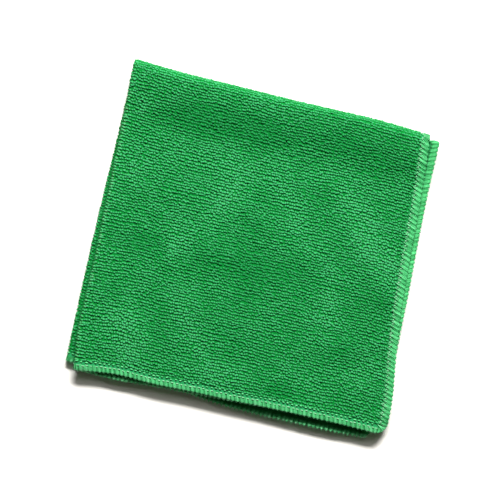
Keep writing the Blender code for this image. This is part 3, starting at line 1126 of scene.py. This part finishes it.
def hem_points(edge, runs, inward, heights):
    """Points over the hem of one edge, with the sheet's outward side and the way off the edge."""
    low, high = edge["run"]
    limit = HALF_SIDE - np.maximum(inward, 0.0)
    runs = np.clip(runs, np.maximum(low, -limit), np.minimum(high, limit))
    flat_edge = edge["sign"] * limit
    flat_x, flat_y = (flat_edge, runs) if edge["facing"] == "x" else (runs, flat_edge)
    middle, along_x, along_y, outward = sheet_frame(flat_x, flat_y)
    away = np.cross(along_y, outward) if edge["facing"] == "x" else np.cross(outward, along_x)
    off_edge = unit(away) * edge["sign"]
    beyond = np.maximum(-inward, 0.0)[..., None]
    return middle + outward * heights[..., None] + off_edge * beyond, outward, off_edge


def stitch_strands(edge, draw):
    """Paths, facing sides, half widths and shades of all strands over one edge."""
    inward, slanted, height, full, turned = (column_of(STRAND, name) for name in STRAND[0])
    turned = np.radians(turned)[:, None]
    top_share = np.interp(inward, TOP_LIGHT, (0.0, 1.0))
    inner_end = np.interp(inward, INNER_PALE, (0.0, 1.0))
    starts = spread_over(*edge["run"], edge["pitch"])[:, None]
    stray = straying(draw, STITCHES_STRAY, starts.shape)
    drift = np.cumsum(stray("drift"), axis=0)
    starts = starts + drift - np.linspace(drift[0], drift[-1], len(drift)) + stray("place")
    reach = edge["width"] * (1.0 + stray("reach"))
    stitch_light = stray("light")
    strands = []
    for strand in STITCH_STRANDS[edge["make"]]:
        runs = starts + strand["place"] * edge["pitch"] + stray("strand") + slanted * edge["slant"]
        deep = inward * reach * np.where(inward > 0, strand["reach"], 1.0)
        deep = np.where(deep < 0, deep * strand["bulge"], deep)
        rise = height * strand["height"] * (1.0 + stray("height"))
        path, outward, off_edge = hem_points(edge, runs, deep, rise)
        over = unit(outward * np.cos(turned) + off_edge * np.sin(turned))
        width = full * strand["half_width"] * (1.0 + stray("width"))
        fleck = np.where(draw.random(deep.shape) < PALE_SHARE, 1.0, PALE_FAINT)
        # The lightness on top and at the outer end paints light and shade onto the strand.
        shade = strand["outer"] + (strand["light"] - strand["outer"]) * top_share
        pale = edge["pale"] if strand["light"] > 0 else 0.0
        shade = shade + pale * inner_end * fleck
        shade = shade + draw.normal(0.0, STITCHES_STRAY["shade"], deep.shape)
        strands.append((path, over, width, shade + stitch_light))
    return strands


def seam_dashes(edge, dashes, draw):
    """Paths, facing sides, half widths and shades of the short stitches along one seam."""
    rows = []
    for dash in dashes:
        starts = spread_over(*edge["run"], edge["pitch"]) + dash["place"] * edge["pitch"]
        stray = straying(draw, DASHES_STRAY, starts.shape)
        starts = starts + stray("place")
        deep = dash["inward"] * edge["width"] + stray("inward")
        inside = np.abs(starts) < HALF_SIDE - deep - DASH_CLEAR * dash["half_length"]
        starts, deep = starts[inside][:, None], deep[inside][:, None]
        longer = straying(draw, DASHES_STRAY, starts.shape)("length")
        runs = starts + column_of(DASH, "run") * dash["half_length"] * (1.0 + longer)
        deep = np.broadcast_to(deep, runs.shape)
        rise = np.broadcast_to(column_of(DASH, "height") * dash["height"], runs.shape)
        path, outward, _ = hem_points(edge, runs, deep, rise)
        width = np.broadcast_to(column_of(DASH, "full") * dash["half_width"], runs.shape)
        shade = np.broadcast_to(draw.uniform(*DASH_SHADES, starts.shape), runs.shape)
        rows.append((path, outward, width, shade))
    return rows


def swept(paths, over, half_width):
    """Flattened tubes along paths (strands, steps, 3) whose flat side faces over."""
    forward = unit(np.gradient(paths, axis=1))
    aside = unit(np.cross(over, forward))
    over = unit(np.cross(forward, aside))
    angles = np.arange(STRAND_SIDES) / STRAND_SIDES * 2 * np.pi
    half_width = half_width[..., None, None]
    wide = np.cos(angles)[:, None] * aside[:, :, None, :] * half_width
    tall = np.sin(angles)[:, None] * over[:, :, None, :] * half_width * STRAND_FLATNESS
    points = paths[:, :, None, :] + wide + tall
    strands, steps = paths.shape[:2]
    ring = np.arange(STRAND_SIDES)
    faces = [list(ring[::-1])]
    for low in range(0, (steps - 1) * STRAND_SIDES, STRAND_SIDES):
        for corner in ring:
            following = (corner + 1) % STRAND_SIDES
            upper = low + STRAND_SIDES
            faces.append([low + corner, low + following, upper + following, upper + corner])
    faces.append(list((steps - 1) * STRAND_SIDES + ring))
    return points.reshape(strands, steps * STRAND_SIDES, 3), faces


def build_strands(name, strands, material):
    """One piece of joined strands from their paths, facing sides, half widths and shades."""
    paths, over, half_width, shades = (np.concatenate(part) for part in zip(*strands))
    points, faces = swept(paths, over, half_width)
    steps = paths.shape[1]
    around = np.tile(np.arange(STRAND_SIDES) / STRAND_SIDES, steps)
    lengthways = np.repeat(np.linspace(0, 1, steps), STRAND_SIDES)
    places = np.stack([around, lengthways], axis=-1)
    shades = np.repeat(shades, STRAND_SIDES, axis=1)
    mesh = joined_mesh(name, points, faces, places, np.ones((1, 1)), shades)
    return finished_object(name, mesh, material)


class CLOTH_OT_hem(bpy.types.Operator):
    """Wrap the cut edges in overlock stitches"""

    bl_idname = "cloth.hem"
    bl_label = "Overlocked hem"

    def execute(self, context):
        hem = context.scene.cloth_hem
        thread = yarn_material(
            "overlock_thread",
            (hem.thread_dark, hem.thread_dark, hem.thread_light, hem.thread_pale),
            roughness=0.6, specular=0.3, sheen=0.08, bump=0.35,
        )
        needle = yarn_material(
            "needle_thread",
            (hem.needle_dark, hem.needle_dark, hem.needle_light, hem.needle_light),
            roughness=0.6, specular=0.3, sheen=0.1, bump=0.35,
        )
        draw = np.random.default_rng(HEM_SEED)
        needle_dashes, loop_dashes = [], []
        for edge in OVERLOCK:
            build_strands(edge["name"], stitch_strands(edge, draw), thread)
            if edge["make"] != "curled":
                needle_dashes += seam_dashes(edge, NEEDLE_DASHES[edge["facing"]], draw)
            loop_dashes += seam_dashes(edge, LOOP_DASHES[edge["facing"]], draw)
        build_strands(SEAM_PIECES[0], needle_dashes, needle)
        build_strands(SEAM_PIECES[1], loop_dashes, thread)
        return {"FINISHED"}


class CLOTH_OT_declare(bpy.types.Operator):
    """Check that every piece is built, and hide the cloth's solid"""

    bl_idname = "cloth.declare"
    bl_label = "Declare pieces"

    def execute(self, context):
        names = [*PILE_FIELDS, *(edge["name"] for edge in OVERLOCK), *SEAM_PIECES]
        missing = [name for name in [GROUND, *names] if name not in bpy.data.objects]
        if missing:
            raise RuntimeError("not built yet: " + ", ".join(missing))
        ground = bpy.data.objects[GROUND]
        on_it = [bpy.data.objects[name] for name in names]
        for piece in [ground, *on_it]:
            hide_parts(CLOTH_NODE)
        return {"FINISHED"}


# --- Stage ---


class CLOTH_OT_stage(bpy.types.Operator):
    """Set the pale floor, the soft light and the camera above the cloth"""

    bl_idname = "cloth.stage"
    bl_label = "Floor, light and camera"

    def execute(self, context):
        stage = context.scene.cloth_stage
        scene = context.scene
        scene.view_settings.view_transform = "Standard"
        floor = new_object("floor", finished_mesh("floor", grid_sheet(1, 1, stage.floor_side / 2)))
        paper = bpy.data.materials.new("floor_paper")
        paper.use_nodes = True
        shader = paper.node_tree.nodes["Principled BSDF"]
        feed(shader, {"Base Color": stage.floor_colour[:], "Roughness": 1.0})
        floor.data.materials.append(paper)

        world = bpy.data.worlds.new("studio")
        scene.world = world
        world.use_nodes = True
        background = world.node_tree.nodes["Background"]
        feed(background, {"Color": (*WORLD_COLOUR, 1.0), "Strength": WORLD_STRENGTH})

        rise, turn = stage.light_height, stage.light_turn
        reach = LIGHT_DISTANCE * np.cos(rise)
        height = LIGHT_DISTANCE * np.sin(rise)
        for source in LIGHTS:
            light = bpy.data.lights.new(source["name"], "AREA")
            light.shape = "ELLIPSE"
            light.size = source["width"]
            light.size_y = source["depth"]
            light.energy = source["power"]
            light.color = LIGHT_COLOUR
            lamp = new_object(source["name"], light)
            lamp.location = (-reach * np.sin(turn), reach * np.cos(turn), height)
            lamp.rotation_euler = (rise - np.pi / 2, 0.0, turn)

        lens = bpy.data.cameras.new("camera")
        camera = new_object("camera", lens)
        aim = np.array([VIEW_ACROSS, -VIEW_DOWN, 0.0]) + SHIFT
        camera.location = (aim[0] * MM, aim[1] * MM, CAMERA_DISTANCE)
        camera.rotation_euler = (0.0, 0.0, stage.camera_turn)
        lens.lens = lens.sensor_width * (CAMERA_DISTANCE - STACK_TOP * MM) / VIEW_WIDTH
        scene.camera = camera
        return {"FINISHED"}


class CLOTH_PT_panel(bpy.types.Panel):
    """Lists the steps that build the cloth, and its sizes and colours"""

    bl_idname = "CLOTH_PT_panel"
    bl_label = "Folded cloth"
    bl_space_type = "VIEW_3D"
    bl_region_type = "UI"
    bl_category = "Cloth"

    def draw(self, context):
        column = self.layout.column()
        for operator in STEPS:
            column.operator(operator.bl_idname)
        for group in (context.scene.cloth_pile, context.scene.cloth_hem, context.scene.cloth_stage):
            for name in group.__annotations__:
                column.prop(group, name)


STEPS = (CLOTH_OT_stage, CLOTH_OT_ground, CLOTH_OT_pile, CLOTH_OT_hem, CLOTH_OT_declare)
SETTINGS = {"cloth_pile": PileSettings, "cloth_hem": HemSettings, "cloth_stage": StageSettings}


def register():
    for name, group in SETTINGS.items():
        bpy.utils.register_class(group)
        setattr(bpy.types.Scene, name, bpy.props.PointerProperty(type=group))
    for step in STEPS:
        bpy.utils.register_class(step)
    bpy.utils.register_class(CLOTH_PT_panel)


def unregister():
    bpy.utils.unregister_class(CLOTH_PT_panel)
    for step in reversed(STEPS):
        bpy.utils.unregister_class(step)
    for name, group in reversed(SETTINGS.items()):
        delattr(bpy.types.Scene, name)
        bpy.utils.unregister_class(group)


def main():
    register()
    bpy.ops.cloth.stage()
    bpy.ops.cloth.ground()
    bpy.ops.cloth.pile()
    bpy.ops.cloth.hem()
    bpy.ops.cloth.declare()


if __name__ == "__main__":
    main()
